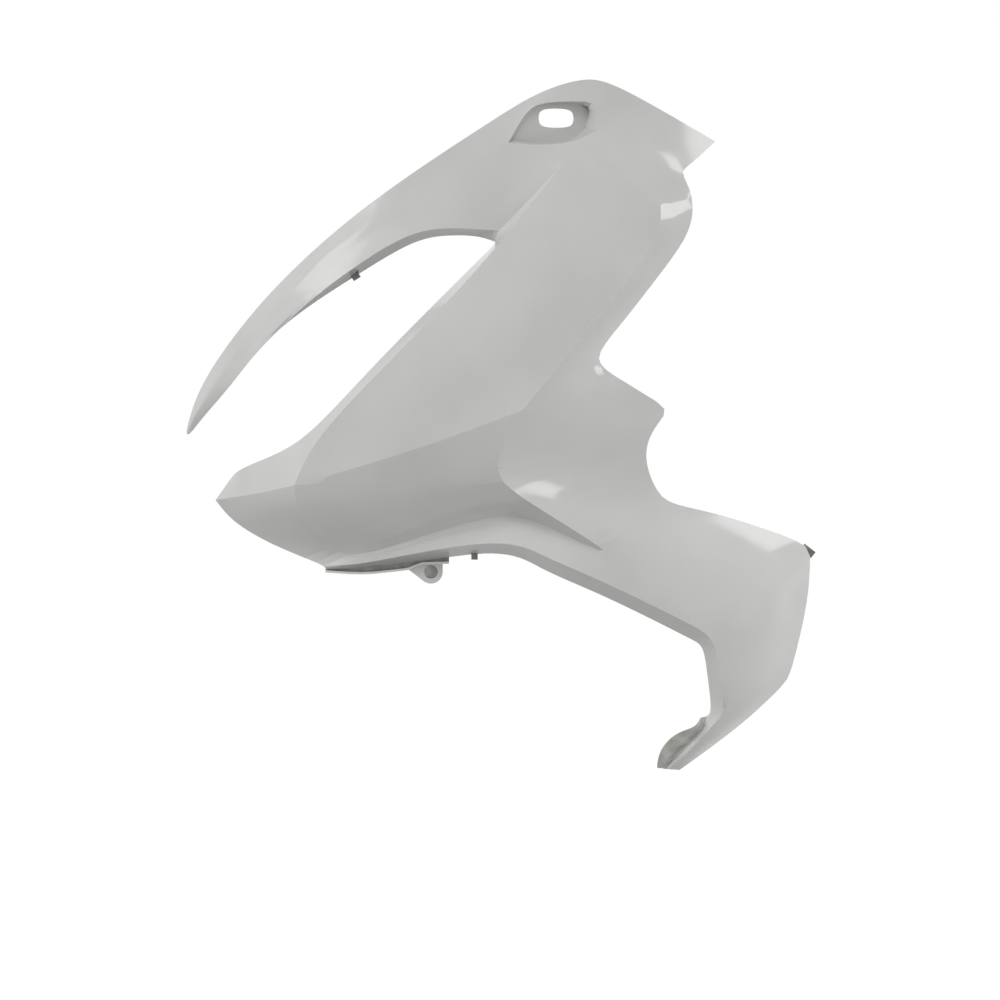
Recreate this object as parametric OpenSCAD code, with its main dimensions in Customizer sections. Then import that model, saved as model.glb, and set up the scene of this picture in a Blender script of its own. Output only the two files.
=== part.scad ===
// Left side fairing of a motorcycle, one moulded piece.
// Millimetres. X runs rearward, Y inward to the bike, Z up.
// The origin is on the axis of the screw ear, at the mouth of its socket.

/* [Shell] */
// wall thickness of the moulding
wall = 2.5; // [2:0.1:3]
// rise of the main panel between its edges
panel_crown = 5; // [0:1:10]
// hollow of the dark lower panel
chin_hollow = 4; // [0:1:8]
// rise of the tail panel between its edges
tail_crown = 9; // [2:1:14]
// rounding passes over the cage
passes = 2; // [1:1:2]

/* [Mirror seat] */
// length of the slot
slot_len = 37; // [28:1:40]
// height of the slot
slot_high = 20; // [16:1:22]
// corner size of the slot
slot_corner = 6; // [3:1:7]
// depth of the seat floor at the slot
seat_depth = 11; // [9:0.5:14]
// draft of the seat walls, as a share of the way to the slot
seat_draft = 0.2; // [0.12:0.02:0.3]

/* [Flanges] */
// depth of the flange over the headlight opening
brow_flange = 18; // [12:1:22]
// how far that flange leans out, front view
brow_lean = 9; // [6:1:11]
// depth of the flange along the lower edge
lower_flange = 24; // [16:1:28]
// how far that flange leans out, front view
lower_lean = 14; // [10:1:16]

// depth of the channel lip below it
lip_run = 9; // [7:0.5:12]
// height of the web that joins lip and flange
lip_rise = 12; // [10:1:14]

/* [Screw ear] */
// radius of the ear
ear_r = 13; // [12:0.5:14]
// thickness of the ear plate
ear_t = 4; // [3:0.5:5]
// bore radius of the screw socket
bore_r = 7.5; // [5:0.5:8]
// bore depth of the screw socket
bore_depth = 9; // [7:0.5:11]
// wall around and behind the bore
cup_wall = 2.5; // [2:0.5:3.5]

/* [Hidden] */
$fn = 48;
paint = [0.77, 0.77, 0.75];

// Points the skin passes through, front view measured from the ear.

// upper edge of the horn, tip to crown
horn_top = [
    [-277, 114, 151], [-267, 109, 189], [-243, 98, 233], [-191, 78, 299], [-119, 59, 368],
    [-36, 38, 431], [67, 24, 498]
];
// upper edge over the mirror seat, then down to the rear top corner
crown_edge = [
    [107, 20, 522], [137, 16, 535], [166, 15, 542], [197, 14, 539], [255, 20, 509],
    [314, 30, 476]
];
// faint crease along the horn
horn_crease = [
    [-264, 104, 183], [-235, 91, 223], [-180, 69, 290], [-108, 48, 358], [-21, 30, 415]
];
// middle of the horn and of the blade
horn_mid = [
    [-262, 103, 179], [-228, 88, 217], [-174, 63, 279], [-97, 40, 345], [-20, 24, 394],
    [43, 13, 421], [102, 1, 433]
];
// fold line over the headlight opening, tip to the brow
horn_low = [
    [-259, 105, 171], [-223, 86, 210], [-168, 58, 272], [-87, 33, 335], [-23, 17, 372],
    [21, 9, 378], [52, 4, 377], [75, -1, 375]
];
// rim of the mirror seat, clockwise from its lower front corner
seat_rim = [
    [85, 12, 473], [98, 14, 495], [114, 14, 514], [145, 12, 518], [177, 8, 516],
    [183, 2, 485], [155, -1, 473], [120, 4, 470]
];
// rear edge below the top corner
shoulder_rear = [
    [297, 16, 459], [277, 2, 440]
];
// crease between shoulder and main panel
panel_top = [
    [201, -26, 438]
];
// crease of the brow, apex to the nose
brow = [
    [144, -10, 447], [81, -19, 367], [12, -26, 289], [-60, -26, 215], [-124, -13, 146],
    [-150, -8, 95]
];
// edge of the headlight opening below the bevel, then the nose
brow_edge = [
    [72, 10, 363], [6, -10, 296], [-67, -10, 222], [-128, 2, 158], [-167, 16, 132],
    [-206, 40, 116], [-221, 58, 106]
];
// line between main panel and knee recess
knee = [
    [251, -40, 401], [249, -46, 368], [213, -53, 317], [176, -59, 269], [152, -63, 240],
    [127, -67, 208], [100, -71, 176]
];
// crease of the main panel, nose tip first
crease = [
    [-241, 66, 79], [-193, 24, 86], [-22, -47, 132]
];
// ridge that runs out into the spike
ridge = [
    [77, -61, 128], [79, -52, 99], [125, -46, 66], [196, -40, 20]
];
// front edge of the dark panel
chin = [
    [-146, -1, 70], [-123, 10, 42], [-93, 21, 18]
];
// top of the roll along the lower edge
roll_top = [
    [-36, 7, 29], [74, -19, 64], [133, -30, 46]
];
// lower edge of the nose
nose_low = [
    [-218, 66, 53], [-169, 52, 26], [-116, 25, 6]
];
// middle of the nose side
nose_face = [
    [-185, 28, 64]
];
// fold line of the lower flange, front to foot
fold = [
    [-50, -5, 14], [71, -35, 34], [125, -40, 16], [183, -40, -8], [240, -38, -35],
    [293, -36, -62], [310, -34, -79], [316, -26, -112], [322, -10, -150]
];
// front edge of the foot
foot_left = [
    [303, 4, -175], [291, 12, -190], [277, 22, -205], [262, 30, -219]
];
// bottom of the groove beside the foot
groove = [
    [302, 20, -160], [299, 11, -175], [284, 20, -189], [270, 30, -205], [258, 38, -219]
];
// edge of the tongue along the groove
tongue_root = [
    [298, 18, -161], [294, 8, -173], [281, 16, -186], [266, 26, -202], [255, 35, -218]
];
// outer edge of the tongue
tongue_tip = [
    [296, 18, -163], [290, 8, -171], [271, 15, -179], [254, 25, -197], [250, 35, -217]
];
// bottom of the knee recess, top to the spike
recess_mid = [
    [269, -22, 404], [266, -28, 371], [232, -33, 319], [193, -39, 268], [169, -38, 236],
    [178, -28, 207], [168, -21, 167], [145, -17, 132], [159, -13, 101], [189, -32, 69],
    [240, -36, 46]
];
// rear edge, past the knee notch
rear_edge = [
    [287, -2, 412], [283, -6, 373], [249, -11, 324], [208, -16, 270], [183, -16, 234],
    [210, -10, 211], [258, 4, 179], [240, 0, 148], [238, -2, 117], [254, -10, 82],
    [284, -12, 71]
];
// edge of the tail panel, top to foot
tail_edge = [
    [337, -8, 57], [413, 2, 28], [415, 4, -22], [406, 10, -72], [393, 18, -119],
    [355, 24, -158], [322, 28, -185], [297, 32, -204], [275, 34, -220]
];
// lower front edge of the channel lip
lip_path = [
    [-117, 24, -1], [-90, 14, -3], [-65, 5, -3], [-25, -3, 2], [-10, -5, 8], [20, -10, 9]
];
// how far in each floor corner of the seat lies, as a share of the draft
seat_spread = [0.8, 0.8, 0.8, 0.8, 0.9, 2.4, 1.4, 0.8];

// Small vector helpers.

function mix(a, b, t) = a * (1 - t) + b * t;
function mean(v) = [for (i = v) 1] * v / len(v);
function unit(v) = v / max(norm(v), 0.000001);
function round3(p) = [for (c = p) round(c * 1000) / 1000];

// Grid between four edges; the middle stands out by the rise.
function patch(top, bottom, left, right, rise) =
    let (rows = len(left) - 1, cols = len(top) - 1)
    [for (i = [0:rows])
        [for (j = [0:cols])
            let (
                v = i / rows,
                u = j / cols,
                across = mix(left[i], right[i], u),
                down = mix(top[j], bottom[j], v),
                flat = mix(mix(top[0], top[cols], u), mix(bottom[0], bottom[cols], u), v)
            )
            i == 0 ? top[j] :
            i == rows ? bottom[j] :
            j == 0 ? left[i] :
            j == cols ? right[i] :
            round3(across + down - flat - [0, rise * 16 * u * (1 - u) * v * (1 - v), 0])]];

// Inner edge of a return flange: straight in by the depth, leaning to one side.
function flange_edge(fold, depth, lean, share) =
    [for (i = [0:len(fold) - 1])
        let (
            a = fold[max(i - 1, 0)],
            b = fold[min(i + 1, len(fold) - 1)],
            along = unit([b[0] - a[0], b[2] - a[2]])
        )
        round3(fold[i] + share[i] * [along[1] * lean, depth, -along[0] * lean])];

// Quads of a grid of points.
function cells(grid) =
    [for (i = [0:len(grid) - 2])
        for (j = [0:len(grid[i]) - 2])
            [grid[i][j], grid[i][j + 1], grid[i + 1][j + 1], grid[i + 1][j]]];

// Mirror seat.

seat_c = [138, 23, 501];
function seat_plane(x, z) = [x, seat_c[1] + (x - seat_c[0]) * 0.09 + (z - seat_c[2]) * 0.03, z];
function slot_pt(sx, sz, cx, cz) =
    seat_plane(seat_c[0] + sx * (slot_len / 2 - cx * slot_corner),
               seat_c[2] + sz * (slot_high / 2 - cz * slot_corner));
slot_ring = [
    slot_pt(-1, -1, 0, 1),
    slot_pt(-1, 1, 0, 1),
    slot_pt(-1, 1, 1, 0),
    slot_pt(1, 1, 1, 0),
    slot_pt(1, 1, 0, 1),
    slot_pt(1, -1, 0, 1),
    slot_pt(1, -1, 1, 0),
    slot_pt(-1, -1, 1, 0)
];
seat_shift = [0, seat_depth - 11, 0];
seat_slot = [for (p = slot_ring) round3(p + seat_shift)];
seat_floor = [for (i = [0:7])
    let (p = mix(seat_rim[i], slot_ring[i], seat_draft * seat_spread[i]))
    round3(seat_plane(p[0], p[2]) + seat_shift)];

// Flanges.

brow_fold = [for (i = [2:7]) horn_low[i]];
brow_in = flange_edge(brow_fold, brow_flange, brow_lean, [0, 0.9, 0.9, 0.8, 0.8, 0]);
lower_fold = concat([nose_low[2]], fold);
lower_in = flange_edge(lower_fold, lower_flange, lower_lean,
                       [0.25, 0.65, 0.8, 1, 1, 1, 1, 0.9, 0.9, 0.95]);

// Cage of the skin.

nose_tip = crease[0];
brow_end = brow[5];
knee_end = knee[6];
spike = ridge[3];
roll_start = chin[2];

main_panel = patch(
    [seat_rim[6], panel_top[0], knee[0]],
    [brow_end, crease[2], knee_end],
    concat([seat_rim[6]], brow),
    knee,
    panel_crown);

dark_panel = patch(
    [brow_end, crease[2], knee_end],
    [roll_start, roll_top[0], roll_top[1]],
    [brow_end, chin[0], chin[1], roll_start],
    [knee_end, ridge[0], ridge[1], roll_top[1]],
    -chin_hollow);

shoulder = patch(
    [crown_edge[3], crown_edge[4], crown_edge[5]],
    [seat_rim[6], panel_top[0], knee[0]],
    [crown_edge[3], seat_rim[4], seat_rim[5], seat_rim[6]],
    [crown_edge[5], shoulder_rear[0], shoulder_rear[1], knee[0]],
    0);

tail_left = concat([for (i = [3:8]) fold[i]], foot_left);
tail_right = concat([rear_edge[10]], tail_edge);
tail_panel = patch(
    [fold[3], spike, recess_mid[10], rear_edge[10]],
    [for (t = [0:3]) mix(foot_left[3], tail_edge[8], t / 3)],
    tail_left,
    tail_right,
    tail_crown);

foot_step = [concat([lower_in[9]], foot_left), groove, tongue_root, tongue_tip];
recess = [for (i = [0:10])
    [i < 7 ? knee[i] : ridge[i - 7], recess_mid[i], rear_edge[i]]];

horn = [for (i = [1:5])
    [horn_top[i], horn_crease[i - 1], horn_mid[i - 1], horn_low[i - 1]]];
blade = [
    [horn_top[6], seat_rim[0], horn_mid[5], horn_low[5]],
    [undef, seat_rim[7], horn_mid[6], horn_low[6]],
    [undef, seat_rim[6], brow[0], horn_low[7]]
];

cage = concat(
    // horn tip, horn and blade
    [[horn_top[0], horn_top[1], horn_crease[0]]],
    [[horn_top[0], horn_crease[0], horn_mid[0]]],
    [[horn_top[0], horn_mid[0], horn_low[0]]],
    cells(horn),
    cells([horn[4], blade[0]]),
    cells([for (r = blade) [r[1], r[2], r[3]]]),
    [[brow_fold[0], brow_fold[1], brow_in[1]]],
    [for (i = [1:3]) [brow_fold[i], brow_fold[i + 1], brow_in[i + 1], brow_in[i]]],
    [[brow_fold[4], brow_fold[5], brow_edge[0], brow_in[4]]],
    // mirror seat
    [for (i = [0:7]) let (j = (i + 1) % 8)
        [seat_rim[i], seat_rim[j], seat_floor[j], seat_floor[i]]],
    [for (i = [0:7]) let (j = (i + 1) % 8)
        [seat_floor[i], seat_floor[j], seat_slot[j], seat_slot[i]]],
    [[horn_top[6], crown_edge[0], seat_rim[1], seat_rim[0]]],
    [for (i = [0:2])
        [crown_edge[i], crown_edge[i + 1], seat_rim[i + 2], seat_rim[i + 1]]],
    // shoulder and the corner above the knee strip
    cells(shoulder),
    [[shoulder_rear[1], rear_edge[0], recess_mid[0], knee[0]]],
    // brow, bevel and upper face of the nose
    [[brow[0], brow[1], horn_low[7]]],
    [[horn_low[7], brow[1], brow_edge[0]]],
    [for (i = [0:3]) [brow_edge[i], brow[i + 1], brow[i + 2], brow_edge[i + 1]]],
    [[brow_edge[4], brow_end, crease[1], brow_edge[5]]],
    [[brow_edge[5], crease[1], nose_tip, brow_edge[6]]],
    // main panel, dark panel, spike
    cells(main_panel),
    cells(dark_panel),
    [[ridge[1], ridge[2], roll_top[2], roll_top[1]]],
    [[ridge[2], spike, roll_top[2]]],
    // side of the nose
    [[nose_tip, crease[1], nose_face[0], nose_low[0]]],
    [[crease[1], brow_end, chin[0], nose_face[0]]],
    [[nose_low[0], nose_face[0], nose_low[1]]],
    [[nose_face[0], chin[0], chin[1], nose_low[1]]],
    [[nose_low[1], chin[1], roll_start, nose_low[2]]],
    // roll along the lower edge and its flange
    [[roll_start, roll_top[0], fold[0], nose_low[2]]],
    [for (i = [0:1]) [roll_top[i], roll_top[i + 1], fold[i + 1], fold[i]]],
    [[roll_top[2], spike, fold[3], fold[2]]],
    [for (i = [0:8]) [lower_fold[i], lower_fold[i + 1], lower_in[i + 1], lower_in[i]]],
    // knee recess and tail panel
    cells(recess),
    cells(tail_panel),
    // joggle and tongue of the foot
    [[fold[8], foot_left[0], lower_in[9]]],
    cells(foot_step)
);

// Lines that stay sharp.

sharp_lines = [
    [crease[0], crease[1], brow_end, crease[2], knee_end],
    knee,
    concat([knee_end], ridge),
    [roll_top[1], roll_top[2], spike],
    concat([brow[0]], [horn_low[7]]),
    brow,
    brow_fold,
    lower_fold,
    concat([brow_end], chin),
    [knee[0], recess_mid[0], rear_edge[0]],
    concat(seat_rim, [seat_rim[0]]),
    concat(seat_floor, [seat_floor[0]]),
    [seat_rim[0], seat_floor[0]],
    [seat_rim[5], seat_floor[5]],
    concat([lower_in[9]], foot_left),
    groove,
    tongue_root
];

// Lines that stay sharp for the first pass only.
soft_lines = [
    [seat_rim[6], panel_top[0], knee[0]],
    concat(horn_crease, [seat_rim[0]]),
    concat([roll_start], roll_top)
];

// Corners the edge runs through.
sharp_corners = [crown_edge[5], nose_tip, tail_edge[8], brow[0],
                 seat_rim[0], seat_rim[5], seat_floor[0], seat_floor[5], brow_edge[0], horn_low[7]];
soft_corners = [shoulder_rear[1], tongue_tip[4], foot_left[0], rear_edge[6], tail_edge[1], seat_rim[4],
                seat_floor[4], fold[5], lower_in[6], brow_edge[6], tail_edge[4]];

// Welding the cage.

function point_key(p) = (round(p[0] * 10) + 10000) * 1000000000
    + (round(p[1] * 10) + 10000) * 30000 + round(p[2] * 10) + 10000;
function front_area(c) =
    let (n = len(c))
    [for (i = 0, s = 0; i <= n; s = s + (i < n ? c[i][0] * c[(i + 1) % n][2]
        - c[(i + 1) % n][0] * c[i][2] : 0), i = i + 1) s][n];
function flip(c) = [for (i = [len(c) - 1:-1:0]) c[i]];
function drop_twice(c) =
    [for (i = [0:len(c) - 1]) if (c[i] != c[(i + 1) % len(c)]) c[i]];

corner_list = [for (c = cage) for (p = c) p];
corner_keys = [for (p = corner_list) point_key(p)];
first_use = search(corner_keys, corner_keys);
points0 = [for (i = [0:len(corner_list) - 1]) if (first_use[i] == i) corner_list[i]];
keys0 = [for (p = points0) point_key(p)];
function weld(line) = search([for (p = line) point_key(p)], keys0);
faces0 = [for (c = cage)
    let (w = drop_twice(weld(c)))
    front_area(c) > 0 ? w : flip(w)];

function edge_pairs(line) =
    let (w = weld(line))
    [for (i = [0:len(w) - 2]) each [[w[i], w[i + 1]], [w[i + 1], w[i]]]];
sharp_pairs = [for (l = sharp_lines) each edge_pairs(l)];
soft_pairs = [for (l = soft_lines) each edge_pairs(l)];

// Rounding of the cage.

// One pass: p points, f faces, now and keep are edge pairs that are sharp in
// this pass and stay sharp after it, pin are points that stay where they are.
// Gives [points, faces, pairs kept].
function round_pass(p, f, now, keep, pin) =
    let (
        n = len(p),
        nf = len(f),
        start = [for (i = 0, s = 0; i < nf; s = s + len(f[i]), i = i + 1) s],
        he = [for (k = [0:nf - 1])
            let (c = len(f[k]))
            for (j = [0:c - 1])
                [f[k][j], f[k][(j + 1) % c], k, start[k] + (j + c - 1) % c]],
        nh = len(he),
        key = [for (h = he) h[0] * n + h[1]],
        twin = search([for (h = he) h[1] * n + h[0]], key),
        single = [for (t = twin) t == []],
        firsts = [for (i = [0:nh - 1]) single[i] || i < twin[i]],
        rank = [for (i = 0, s = 0; i < nh; s = s + (firsts[i] ? 1 : 0), i = i + 1) s],
        eid = [for (i = [0:nh - 1]) firsts[i] ? rank[i] : rank[twin[i]]],
        now_keys = [for (e = now) e[0] * n + e[1]],
        keep_keys = [for (e = keep) e[0] * n + e[1]],
        in_now = search(key, now_keys),
        hard = [for (i = [0:nh - 1]) single[i] || in_now[i] != []],
        mid_face = [for (c = f) mean([for (i = c) p[i]])],
        owners = [for (i = [0:nh - 1]) if (firsts[i]) i],
        ne = len(owners),
        mid_edge = [for (i = owners)
            let (a = p[he[i][0]], b = p[he[i][1]])
            hard[i] ? (a + b) / 2
                : (a + b + mid_face[he[i][2]] + mid_face[he[twin[i]][2]]) / 4],
        ring = search([for (i = [0:n - 1]) i], [for (h = he) h[0]], 0),
        pinned = search([for (i = [0:n - 1]) i], pin),
        moved = [for (i = [0:n - 1])
            let (
                r = ring[i],
                k = len(r),
                rim = concat(
                    [for (h = r) if (single[h]) p[he[h][1]]],
                    [for (h = r) if (single[he[h][3]]) p[he[he[h][3]][0]]]),
                sharp = [for (h = r) if (hard[h]) p[he[h][1]]]
            )
            pinned[i] != [] ? p[i] :
            len(rim) > 1 ? (p[i] * 6 + rim[0] + rim[1]) / 8 :
            len(sharp) > 2 ? p[i] :
            len(sharp) == 2 ? (p[i] * 6 + sharp[0] + sharp[1]) / 8 :
            (mean([for (h = r) mid_face[he[h][2]]])
                + mean([for (h = r) (p[i] + p[he[h][1]]) / 2]) * 2
                + p[i] * (k - 3)) / k],
        kept = search(key, keep_keys)
    )
    [
        concat(moved, mid_edge, mid_face),
        [for (k = [0:nf - 1])
            let (c = len(f[k]))
            for (j = [0:c - 1])
                [f[k][j], n + eid[start[k] + j], n + ne + k,
                    n + eid[start[k] + (j + c - 1) % c]]],
        [for (i = [0:nh - 1]) if (kept[i] != [])
            each [[he[i][0], n + eid[i]], [n + eid[i], he[i][0]],
                [he[i][1], n + eid[i]], [n + eid[i], he[i][1]]]]
    ];

pins_all = weld(concat(sharp_corners, soft_corners));
pins_hard = weld(sharp_corners);
function rounded(p) =
    let (a = round_pass(p, faces0, concat(sharp_pairs, soft_pairs), sharp_pairs, pins_all))
    passes < 2 ? a : round_pass(a[0], a[1], a[2], a[2], pins_hard);

// Rounding pulls the skin off its points, so the cage is pushed out by as much.
pulled = rounded(points0)[0];
pushed = [for (i = [0:len(points0) - 1]) points0[i] * 2 - pulled[i]];
skin = rounded(pushed);

// Outer skin, inner skin and rim as one closed shell.

// Way out of the skin at each cage point: the point that lies one wall from every
// face around it, held back a little where the faces almost agree.
function quad_normal(c) =
    let (q = [for (i = c) points0[i]], n = len(q))
    unit(cross(q[2] - q[0], q[n - 1] - q[1 % n]));
normals0 = [for (c = faces0) quad_normal(c)];
owner0 = [for (k = [0:len(faces0) - 1]) for (i = faces0[k]) k];
ring0 = search([for (i = [0:len(points0) - 1]) i], [for (c = faces0) each c], 0);
give = 0.06;
function solve3(m, b) =
    let (c = cross(m[1], m[2]))
    [b * c, b * cross(m[2], m[0]), b * cross(m[0], m[1])] / (m[0] * c);
way_out = [for (r = ring0)
    let (
        around = [for (h = r) normals0[owner0[h]]],
        spread = [for (i = [0:2])
            mean([for (m = around) m[i] * m]) + [for (j = [0:2]) i == j ? give : 0]]
    )
    solve3(spread, mean(around)) * (1 + give)];
inner_skin = rounded([for (i = [0:len(points0) - 1]) pushed[i] - way_out[i] * wall])[0];

module shell() {
    front = [for (p = skin[0]) round3(p)];
    back = [for (p = inner_skin) round3(p)];
    quads = skin[1];
    n = len(front);
    pairs = [for (q = quads) for (j = [0:3]) [q[j], q[(j + 1) % 4]]];
    key = [for (e = pairs) e[0] * n + e[1]];
    twin = search([for (e = pairs) e[1] * n + e[0]], key);
    rim = [for (i = [0:len(pairs) - 1]) if (twin[i] == []) pairs[i]];
    function short(q) =
        norm(front[q[0]] - front[q[2]]) <= norm(front[q[1]] - front[q[3]])
            ? [[q[2], q[1], q[0]], [q[3], q[2], q[0]]]
            : [[q[3], q[1], q[0]], [q[3], q[2], q[1]]];
    outer_faces = [for (q = quads) each short(q)];
    inner_faces = [for (t = outer_faces) [t[2] + n, t[1] + n, t[0] + n]];
    rim_faces = [for (e = rim) each [[e[0], e[1], e[0] + n], [e[1], e[1] + n, e[0] + n]]];
    polyhedron(concat(front, back), concat(outer_faces, inner_faces, rim_faces));
}

// Channel lip, screw ear and small hooks.

// Channel lip: a plate below the lower flange, closed along its inner edge.
module lip() {
    web_x = lip_run - wall;
    profile = [
        [web_x, wall],
        [0, wall],
        [0, 0],
        [lip_run, 0],
        [lip_run, lip_rise],
        [web_x, lip_rise]
    ];
    n = len(profile);
    m = len(lip_path);
    pts = [for (s = lip_path) for (q = profile) [s[0], s[1] + q[0], s[2] + q[1]]];
    sides = [for (i = [0:m - 2]) for (j = [0:n - 1])
        let (a = i * n + j, b = i * n + (j + 1) % n)
        each [[a, b + n, b], [a, a + n, b + n]]];
    ends = [
        for (j = [1:n - 2]) [0, j, j + 1],
        for (j = [1:n - 2]) [(m - 1) * n, (m - 1) * n + j + 1, (m - 1) * n + j]
    ];
    polyhedron(pts, concat(sides, ends));
}

// Middles of the stop below the lower flange, of the stop on the flange over the
// headlight opening and of the hook at the rear corner.
lower_stop = [48, -9, 18];
horn_stop = [-84, 46, 327];
rear_hook = tail_edge[1] + [2, 5, -5];

// Cylinder along Y.
module rod(r, from, to) {
    translate([0, from, 0])
        rotate([-90, 0, 0])
            cylinder(r = r, h = to - from);
}

module ear() {
    translate([0, ear_t, 0])
        rotate([90, 0, 0])
            linear_extrude(ear_t)
                hull() {
                    circle(ear_r);
                    polygon([[-24, 2], [-24, 5], [ear_r, 13], [ear_r, 4]]);
                }
    rod(bore_r + cup_wall, 0, bore_depth + cup_wall);
}

module block(at, size, turn) {
    translate(at)
        rotate([0, turn, 0])
            cube(size, center = true);
}

module fairing() {
    color(paint)
        difference() {
            union() {
                shell();
                lip();
                ear();
                block(lower_stop, [7, 8, 9], 0);
                block(horn_stop, [9, 6, 6], -32);
                block(rear_hook, [15, 8, 8], 38);
            }
            rod(bore_r, -1, bore_depth);
        }
}

fairing();
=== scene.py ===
# Motorcycle side fairing: looks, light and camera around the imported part.
# Metres, in the part's own frame: X rearward, Y inward to the bike, Z up.
import math
import bmesh
import bpy
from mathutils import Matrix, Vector


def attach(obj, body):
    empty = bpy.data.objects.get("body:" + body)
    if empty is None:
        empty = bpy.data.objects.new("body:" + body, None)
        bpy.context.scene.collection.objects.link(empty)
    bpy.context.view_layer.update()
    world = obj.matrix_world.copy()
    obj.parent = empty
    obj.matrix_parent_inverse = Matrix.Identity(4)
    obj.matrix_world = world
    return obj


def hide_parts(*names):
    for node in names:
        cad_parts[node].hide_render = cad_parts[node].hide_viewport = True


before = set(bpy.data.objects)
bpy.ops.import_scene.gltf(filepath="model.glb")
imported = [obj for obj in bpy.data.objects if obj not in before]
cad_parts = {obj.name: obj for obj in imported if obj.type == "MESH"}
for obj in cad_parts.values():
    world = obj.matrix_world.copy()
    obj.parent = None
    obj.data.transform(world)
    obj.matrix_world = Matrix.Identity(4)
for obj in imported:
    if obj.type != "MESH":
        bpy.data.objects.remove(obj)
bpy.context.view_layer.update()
print("frame loaded")


def toLinear(hexColour):
    channels = [int(hexColour[i:i + 2], 16) / 255 for i in (1, 3, 5)]
    return [c / 12.92 if c <= 0.04045 else ((c + 0.055) / 1.055) ** 2.4
            for c in channels] + [1.0]


def addNode(tree, kind, settings=None, inputs=None, links=None):
    # inputs: socket -> value, links: socket -> (node, output); sockets by name or number
    node = tree.nodes.new(kind)
    for name, value in (settings or {}).items():
        setattr(node, name, value)
    for name, value in (inputs or {}).items():
        node.inputs[name].default_value = value
    for name, (source, output) in (links or {}).items():
        tree.links.new(source.outputs[output], node.inputs[name])
    return node


def newMaterial(name):
    material = bpy.data.materials.new(name)
    material.use_nodes = True
    material.node_tree.nodes.clear()
    return material, material.node_tree


def finishMaterial(tree, shader):
    addNode(tree, "ShaderNodeOutputMaterial", links={"Surface": (shader, 0)})


def setRamp(ramp, places, colours):
    for element, place, colour in zip(ramp.color_ramp.elements, places, colours):
        element.position = place
        element.color = toLinear(colour)


# Paint: ABS sprayed light grey under a clear lacquer. The lacquer gives the sharp
# highlight, the grey coat below it the soft one, and the spray's orange peel
# makes both swim a little.
paint = {
    "material": "sprayed ABS gloss grey",
    "colours": ("#BBBBBA", "#C2C2C1"),    # where the coat lies thick, where it lies thin
    "cloudEnds": (0.3, 0.7),
    "cloudSize": 0.09,       # slow drift of the coat's thickness
    "coatRoughness": 0.42,
    "coatIor": 1.5,
    "coatShine": 0.1,        # the grey coat itself hardly shines, the lacquer does
    "lacquerRoughness": 0.11,
    "lacquerIor": 1.5,
    "peelSize": 0.006,       # real peel is 1 to 3 mm, drawn coarser so it shows
    "peelHeight": 0.000008,
    "peelStrength": 0.25,
}


def makePaint():
    material, tree = newMaterial(paint["material"])
    place = addNode(tree, "ShaderNodeTexCoord")
    cloud = addNode(tree, "ShaderNodeTexNoise",
                    inputs={"Scale": 1 / paint["cloudSize"], "Detail": 2.0},
                    links={"Vector": (place, "Object")})
    colour = addNode(tree, "ShaderNodeValToRGB", links={"Fac": (cloud, "Fac")})
    setRamp(colour, paint["cloudEnds"], paint["colours"])
    peel = addNode(tree, "ShaderNodeTexNoise",
                   inputs={"Scale": 1 / paint["peelSize"], "Detail": 1.0},
                   links={"Vector": (place, "Object")})
    bump = addNode(tree, "ShaderNodeBump",
                   inputs={"Strength": paint["peelStrength"], "Distance": paint["peelHeight"]},
                   links={"Height": (peel, "Fac")})
    shader = addNode(tree, "ShaderNodeBsdfPrincipled",
                     inputs={"Roughness": paint["coatRoughness"],
                             "IOR": paint["coatIor"],
                             "Specular IOR Level": paint["coatShine"],
                             "Coat Weight": 1.0,
                             "Coat Roughness": paint["lacquerRoughness"],
                             "Coat IOR": paint["lacquerIor"]},
                     links={"Base Color": (colour, "Color"),
                            "Normal": (bump, "Normal"),
                            "Coat Normal": (bump, "Normal")})
    finishMaterial(tree, shader)
    return material


# Bare plastic: ABS as it leaves the mould, matt with a fine spark grain that breaks
# the light up. How much grey spray it caught sets the hidden side's and the tongue's two
# colours; the stops are plain dark grey and the channel's colours are painted shade.
barePlastic = {
    "roughness": 0.55,
    "ior": 1.54,
    "patchEdge": 0.14,       # softness of the patches' edges
    "grainSize": 0.0015,     # spark grain is about 0.1 mm, drawn coarser
    "grainHeight": 0.00004,
    "grainStrength": 0.6,
}

# Bare side: the hidden side caught no spray and looks dark grey, faintly cloudy.
bareSide = {
    "material": "moulded ABS matt dark",
    "colours": ("#383838", "#454544"),
    "share": 0.62,
    "patchSize": 0.05,
}

# Dark stops: the small stops are coloured dark grey.
darkGreyStop = {
    "material": "moulded ABS dark grey stops",
    "colours": ("#5C5C5A", "#747472"),
    "share": 0.5,
    "patchSize": 0.01,
}

# Oversprayed tongue: the tongue of the foot caught the spray unevenly, so its
# light grey is a little darker and blotchy.
oversprayedTongue = {
    "material": "moulded ABS oversprayed",
    "colours": ("#A0A09B", "#B8B8B5"),
    "share": 0.5,
    "patchSize": 0.014,
}

# Painted shade in the channel: the web faces behind the lip are coloured mid grey,
# so the channel reads as a shaded line.
paintedShadeChannel = {
    "material": "moulded ABS painted shade mid grey",
    "colours": ("#747472", "#8C8C8A"),
    "share": 0.5,
    "patchSize": 0.01,
}


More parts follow.
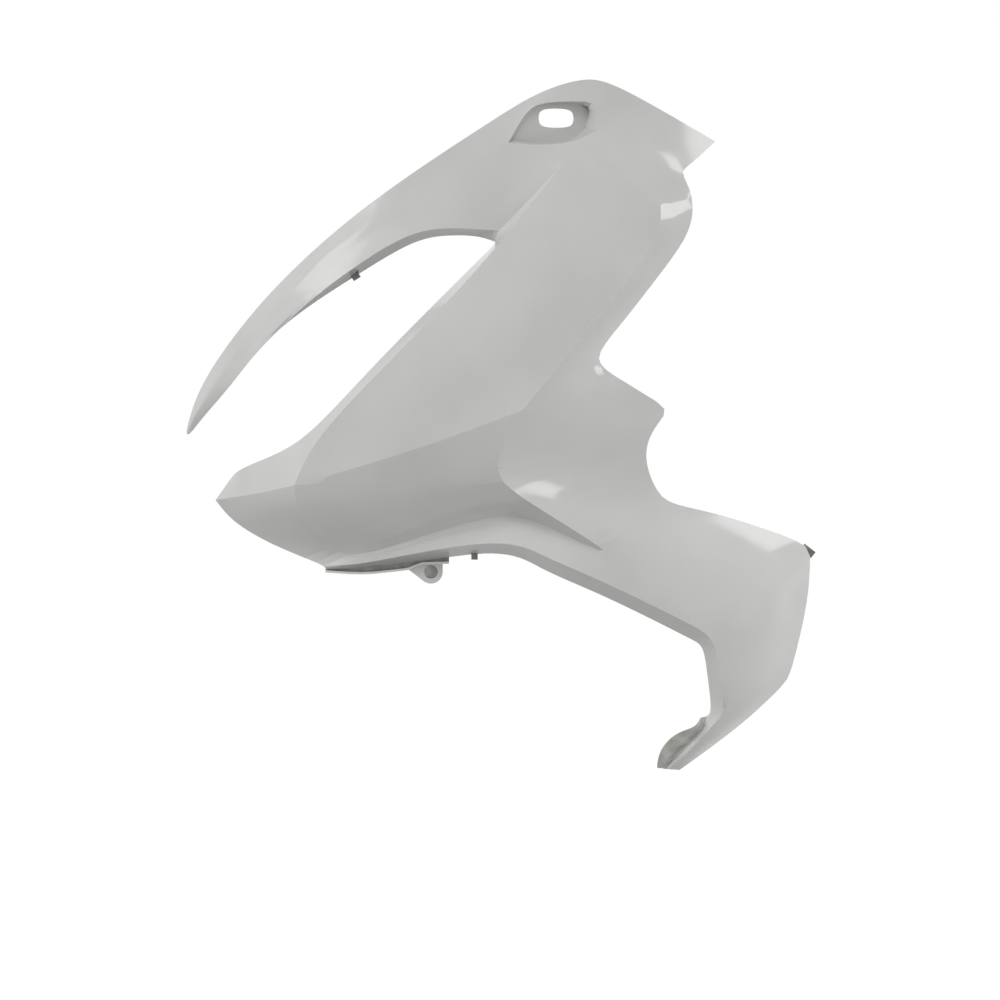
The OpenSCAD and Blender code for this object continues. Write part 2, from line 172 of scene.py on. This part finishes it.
def makeBarePlastic(finish):
    material, tree = newMaterial(finish["material"])
    place = addNode(tree, "ShaderNodeTexCoord")
    patches = addNode(tree, "ShaderNodeTexNoise",
                      inputs={"Scale": 1 / finish["patchSize"], "Detail": 4.0},
                      links={"Vector": (place, "Object")})
    colour = addNode(tree, "ShaderNodeValToRGB", links={"Fac": (patches, "Fac")})
    setRamp(colour, (finish["share"] - barePlastic["patchEdge"],
                     finish["share"] + barePlastic["patchEdge"]), finish["colours"])
    grain = addNode(tree, "ShaderNodeTexNoise",
                    inputs={"Scale": 1 / barePlastic["grainSize"], "Detail": 2.0},
                    links={"Vector": (place, "Object")})
    bump = addNode(tree, "ShaderNodeBump",
                   inputs={"Strength": barePlastic["grainStrength"],
                           "Distance": barePlastic["grainHeight"]},
                   links={"Height": (grain, "Fac")})
    shader = addNode(tree, "ShaderNodeBsdfPrincipled",
                     inputs={"Roughness": barePlastic["roughness"], "IOR": barePlastic["ior"]},
                     links={"Base Color": (colour, "Color"),
                            "Normal": (bump, "Normal")})
    finishMaterial(tree, shader)
    return material


# Shell: the fairing's one moulding, its folds, its rounded edges and the faces that
# take each finish.
shell = {
    "mergeDistance": 0.00002,
    "joinFaceAngle": math.radians(20),       # triangles flatter than this make one face
    "joinShapeAngle": math.radians(60),
    "foldAngle": math.radians(11),           # a sharper edge stays a crisp fold
    "smoothLevels": 1,
    "edgeRadius": 0.0005,
    "edgeSegments": 2,
    "edgeAngle": math.radians(42),
    "hiddenFacing": 0.02,    # Y of a face's normal; above it the face looks inward
    "stopBoxes": [           # (lowest corner, highest corner) of each stop
        ((0.0440, -0.0135, 0.0130), (0.0520, -0.0045, 0.0230)),
        ((-0.0900, 0.0425, 0.3215), (-0.0780, 0.0495, 0.3325)),
        ((0.4060, 0.0025, 0.0150), (0.4240, 0.0115, 0.0310)),
    ],
    "tongueBox": ((0.20, -0.06, -0.24), (0.303, 0.10, -0.160)),
    "tongueFold": (0.256, -0.216, 0.96),     # X and Z of a point on its fold, and its slope
    # Foot of the lip's web, and how far above it and beside it the channel's faces lie.
    "channelPath": [(-0.117, 0.0305, -0.001), (-0.090, 0.0205, -0.003),
                    (-0.065, 0.0115, -0.003), (-0.025, 0.0035, 0.002),
                    (-0.010, 0.0015, 0.008), (0.020, -0.0035, 0.009)],
    "channelRise": (0.002, 0.013),
    "channelReach": 0.0008,
    "channelFacing": -0.9,   # Y of a face's normal; up to it the face looks outward
}


def inBox(point, box):
    return all(low <= c <= high for c, low, high in zip(point, *box))


def inChannel(face, point):
    if face.normal.y > shell["channelFacing"]:
        return False
    low, high = shell["channelRise"]
    for (xa, ya, za), (xb, yb, zb) in zip(shell["channelPath"], shell["channelPath"][1:]):
        if xa <= point.x <= xb:
            share = (point.x - xa) / (xb - xa)
            y = ya + share * (yb - ya)
            z = za + share * (zb - za)
            return abs(point.y - y) < shell["channelReach"] and low < point.z - z < high
    return False


def onTongue(point):
    x, z, slope = shell["tongueFold"]
    return inBox(point, shell["tongueBox"]) and point.z > z + (point.x - x) * slope


def chooseFinish(face):
    middle = face.calc_center_median()
    # the channel's outward web faces take painted shade, a mid grey line
    if inChannel(face, middle):
        return paintedShadeChannel
    if any(inBox(middle, box) for box in shell["stopBoxes"]):
        return darkGreyStop
    if face.normal.y > shell["hiddenFacing"]:
        return bareSide
    if onTongue(middle):
        return oversprayedTongue
    return paint


def joinFaces(work):
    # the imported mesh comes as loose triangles; the smoothing needs joined, larger faces
    bmesh.ops.remove_doubles(work, verts=work.verts, dist=shell["mergeDistance"])
    bmesh.ops.join_triangles(work, faces=work.faces[:], cmp_seam=False, cmp_sharp=False,
                             cmp_uvs=False, cmp_vcols=False, cmp_materials=False,
                             angle_face_threshold=shell["joinFaceAngle"],
                             angle_shape_threshold=shell["joinShapeAngle"])


def markFolds(work):
    creases = work.edges.layers.float.new("crease_edge")
    for edge in work.edges:
        isFold = edge.calc_face_angle(math.pi) > shell["foldAngle"]
        edge[creases] = 1.0 if isFold else 0.0
        edge.smooth = not isFold


def paintFaces(work, mesh, finishes):
    for face in work.faces:
        face.smooth = True
        face.material_index = mesh.materials.find(chooseFinish(face)["material"])
    print("faces of each finish", [sum(face.material_index == i for face in work.faces)
                                   for i in range(len(finishes))])


def roundShell(piece):
    smooth = piece.modifiers.new("smooth", "SUBSURF")
    smooth.levels = shell["smoothLevels"]
    smooth.render_levels = shell["smoothLevels"]
    smooth.use_limit_surface = False
    edgeRound = piece.modifiers.new("edgeRound", "BEVEL")
    edgeRound.width = shell["edgeRadius"]
    edgeRound.segments = shell["edgeSegments"]
    edgeRound.limit_method = "ANGLE"
    edgeRound.angle_limit = shell["edgeAngle"]
    edgeRound.harden_normals = False
    weighted = piece.modifiers.new("weighted", "WEIGHTED_NORMAL")
    weighted.keep_sharp = True


def makeShell():
    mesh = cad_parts["fairing"].data.copy()
    mesh.name = "fairingShell"
    mesh.materials.clear()
    finishes = [makePaint()] + [makeBarePlastic(finish) for finish in
                                (bareSide, darkGreyStop, oversprayedTongue, paintedShadeChannel)]
    for material in finishes:
        mesh.materials.append(material)
    work = bmesh.new()
    work.from_mesh(mesh)
    joinFaces(work)
    markFolds(work)
    paintFaces(work, mesh, finishes)
    work.to_mesh(mesh)
    work.free()
    piece = bpy.data.objects.new("fairingShell", mesh)
    bpy.context.scene.collection.objects.link(piece)
    roundShell(piece)
    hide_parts("fairing")
    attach(piece, "root")


makeShell()
print("shell dressed")

# Studio: floor well below the part, an even white surround, soft lamps that shade
# the folds and lamps that only the lacquer mirrors, for its highlights.
studio = {
    "floorHeight": -0.50,
    "floorSize": 14.0,
    "floorColour": "#8C8C8A",
    "floorGlow": 0.86,       # white with the light on the board, and a shadow still shows
    "surroundStrength": 0.70,
    # name: (place, aim, width, height, watts, what it gives: soft light or shine)
    "lamps": {
        "leftFill": ((-2.10, -0.60, 1.45), (0.07, 0.0, 0.15), 0.7, 0.7, 18.0, "soft"),
        "rightFill": ((2.13, -0.55, -0.15), (0.07, 0.0, 0.15), 0.6, 0.6, 12.0, "soft"),
        "topFill": ((-0.32, -1.44, 2.28), (0.07, 0.0, 0.15), 0.7, 0.7, 9.5, "soft"),
        "noseFill": ((-2.05, -0.60, -0.38), (0.0, 0.0, 0.10), 0.7, 0.16, 8.0, "soft"),
        "lowFill": ((0.80, -0.95, -0.22), (0.30, 0.0, -0.08), 0.4, 0.4, 2.6, "soft"),
        "leftWall": ((-2.10, -0.75, 0.85), (0.0, 0.0, 0.2), 1.5, 2.3, 6.0, "shine"),
        "hornStrip": ((-1.82, -1.10, 1.37), (-0.12, 0.05, 0.33), 0.5, 0.4, 2.0, "shine"),
        "rightSoftbox": ((1.39, -0.70, 1.52), (0.13, -0.03, 0.10), 0.44, 0.70, 4.4, "shine"),
        "sideStrip": ((2.05, 0.05, 0.94), (0.27, -0.02, 0.39), 0.7, 0.6, 5.0, "shine"),
    },
}


def addSeenStrength(tree, unseen, seen):
    # the lens, reflections and anything looked through get seen, soft light gets unseen
    path = addNode(tree, "ShaderNodeLightPath")
    shiny = addNode(tree, "ShaderNodeMath", {"operation": "ADD"},
                    links={0: (path, "Is Glossy Ray"), 1: (path, "Is Transmission Ray")})
    total = addNode(tree, "ShaderNodeMath", {"operation": "ADD", "use_clamp": True},
                    links={0: (path, "Is Camera Ray"), 1: (shiny, "Value")})
    return addNode(tree, "ShaderNodeMapRange", inputs={"To Min": unseen, "To Max": seen},
                   links={"Value": (total, "Value")})


def makeFloor():
    half = studio["floorSize"] / 2
    height = studio["floorHeight"]
    mesh = bpy.data.meshes.new("floor")
    mesh.from_pydata([(-half, -half, height), (half, -half, height),
                      (half, half, height), (-half, half, height)], [], [(0, 1, 2, 3)])
    floor = bpy.data.objects.new("floor", mesh)
    bpy.context.scene.collection.objects.link(floor)
    material, tree = newMaterial("matt painted board pale")   # even and shineless
    board = addNode(tree, "ShaderNodeBsdfDiffuse",
                    inputs={"Color": toLinear(studio["floorColour"])})
    strength = addSeenStrength(tree, 0.0, studio["floorGlow"])
    glow = addNode(tree, "ShaderNodeEmission", inputs={"Color": (1, 1, 1, 1)},
                   links={"Strength": (strength, "Result")})
    both = addNode(tree, "ShaderNodeAddShader", links={0: (board, 0), 1: (glow, 0)})
    finishMaterial(tree, both)
    mesh.materials.append(material)


def makeSurround():
    world = bpy.data.worlds.new("surround")
    bpy.context.scene.world = world
    world.use_nodes = True
    tree = world.node_tree
    tree.nodes.clear()
    strength = addSeenStrength(tree, studio["surroundStrength"], 1.0)
    glow = addNode(tree, "ShaderNodeBackground", inputs={"Color": (1, 1, 1, 1)},
                   links={"Strength": (strength, "Result")})
    addNode(tree, "ShaderNodeOutputWorld", links={"Surface": (glow, 0)})


def makeLamps():
    for name, (place, aim, width, height, watts, gives) in studio["lamps"].items():
        data = bpy.data.lights.new(name, "AREA")
        data.shape = "RECTANGLE"
        data.size = width
        data.size_y = height
        data.energy = watts
        lamp = bpy.data.objects.new(name, data)
        bpy.context.scene.collection.objects.link(lamp)
        lamp.location = place
        lamp.visible_glossy = gives == "shine"
        lamp.visible_diffuse = gives == "soft"
        lamp.rotation_euler = (Vector(aim) - Vector(place)).to_track_quat("-Z", "Y").to_euler()


makeFloor()
makeSurround()
makeLamps()
print("studio set")

# Camera: square on to the outside face, as in the photograph, 5 m away.
view = {"place": (0.076, -5.0, 0.079), "frameWidth": 1.1, "sensor": 36.0, "farthest": 60.0}


def makeCamera():
    data = bpy.data.cameras.new("camera")
    data.sensor_width = view["sensor"]
    data.lens = view["sensor"] * -view["place"][1] / view["frameWidth"]
    data.clip_end = view["farthest"]
    camera = bpy.data.objects.new("camera", data)
    bpy.context.scene.collection.objects.link(camera)
    camera.location = view["place"]
    camera.rotation_euler = (math.pi / 2, 0, 0)
    bpy.context.scene.camera = camera


makeCamera()
bpy.context.scene.view_settings.view_transform = "Standard"
bpy.context.view_layer.update()
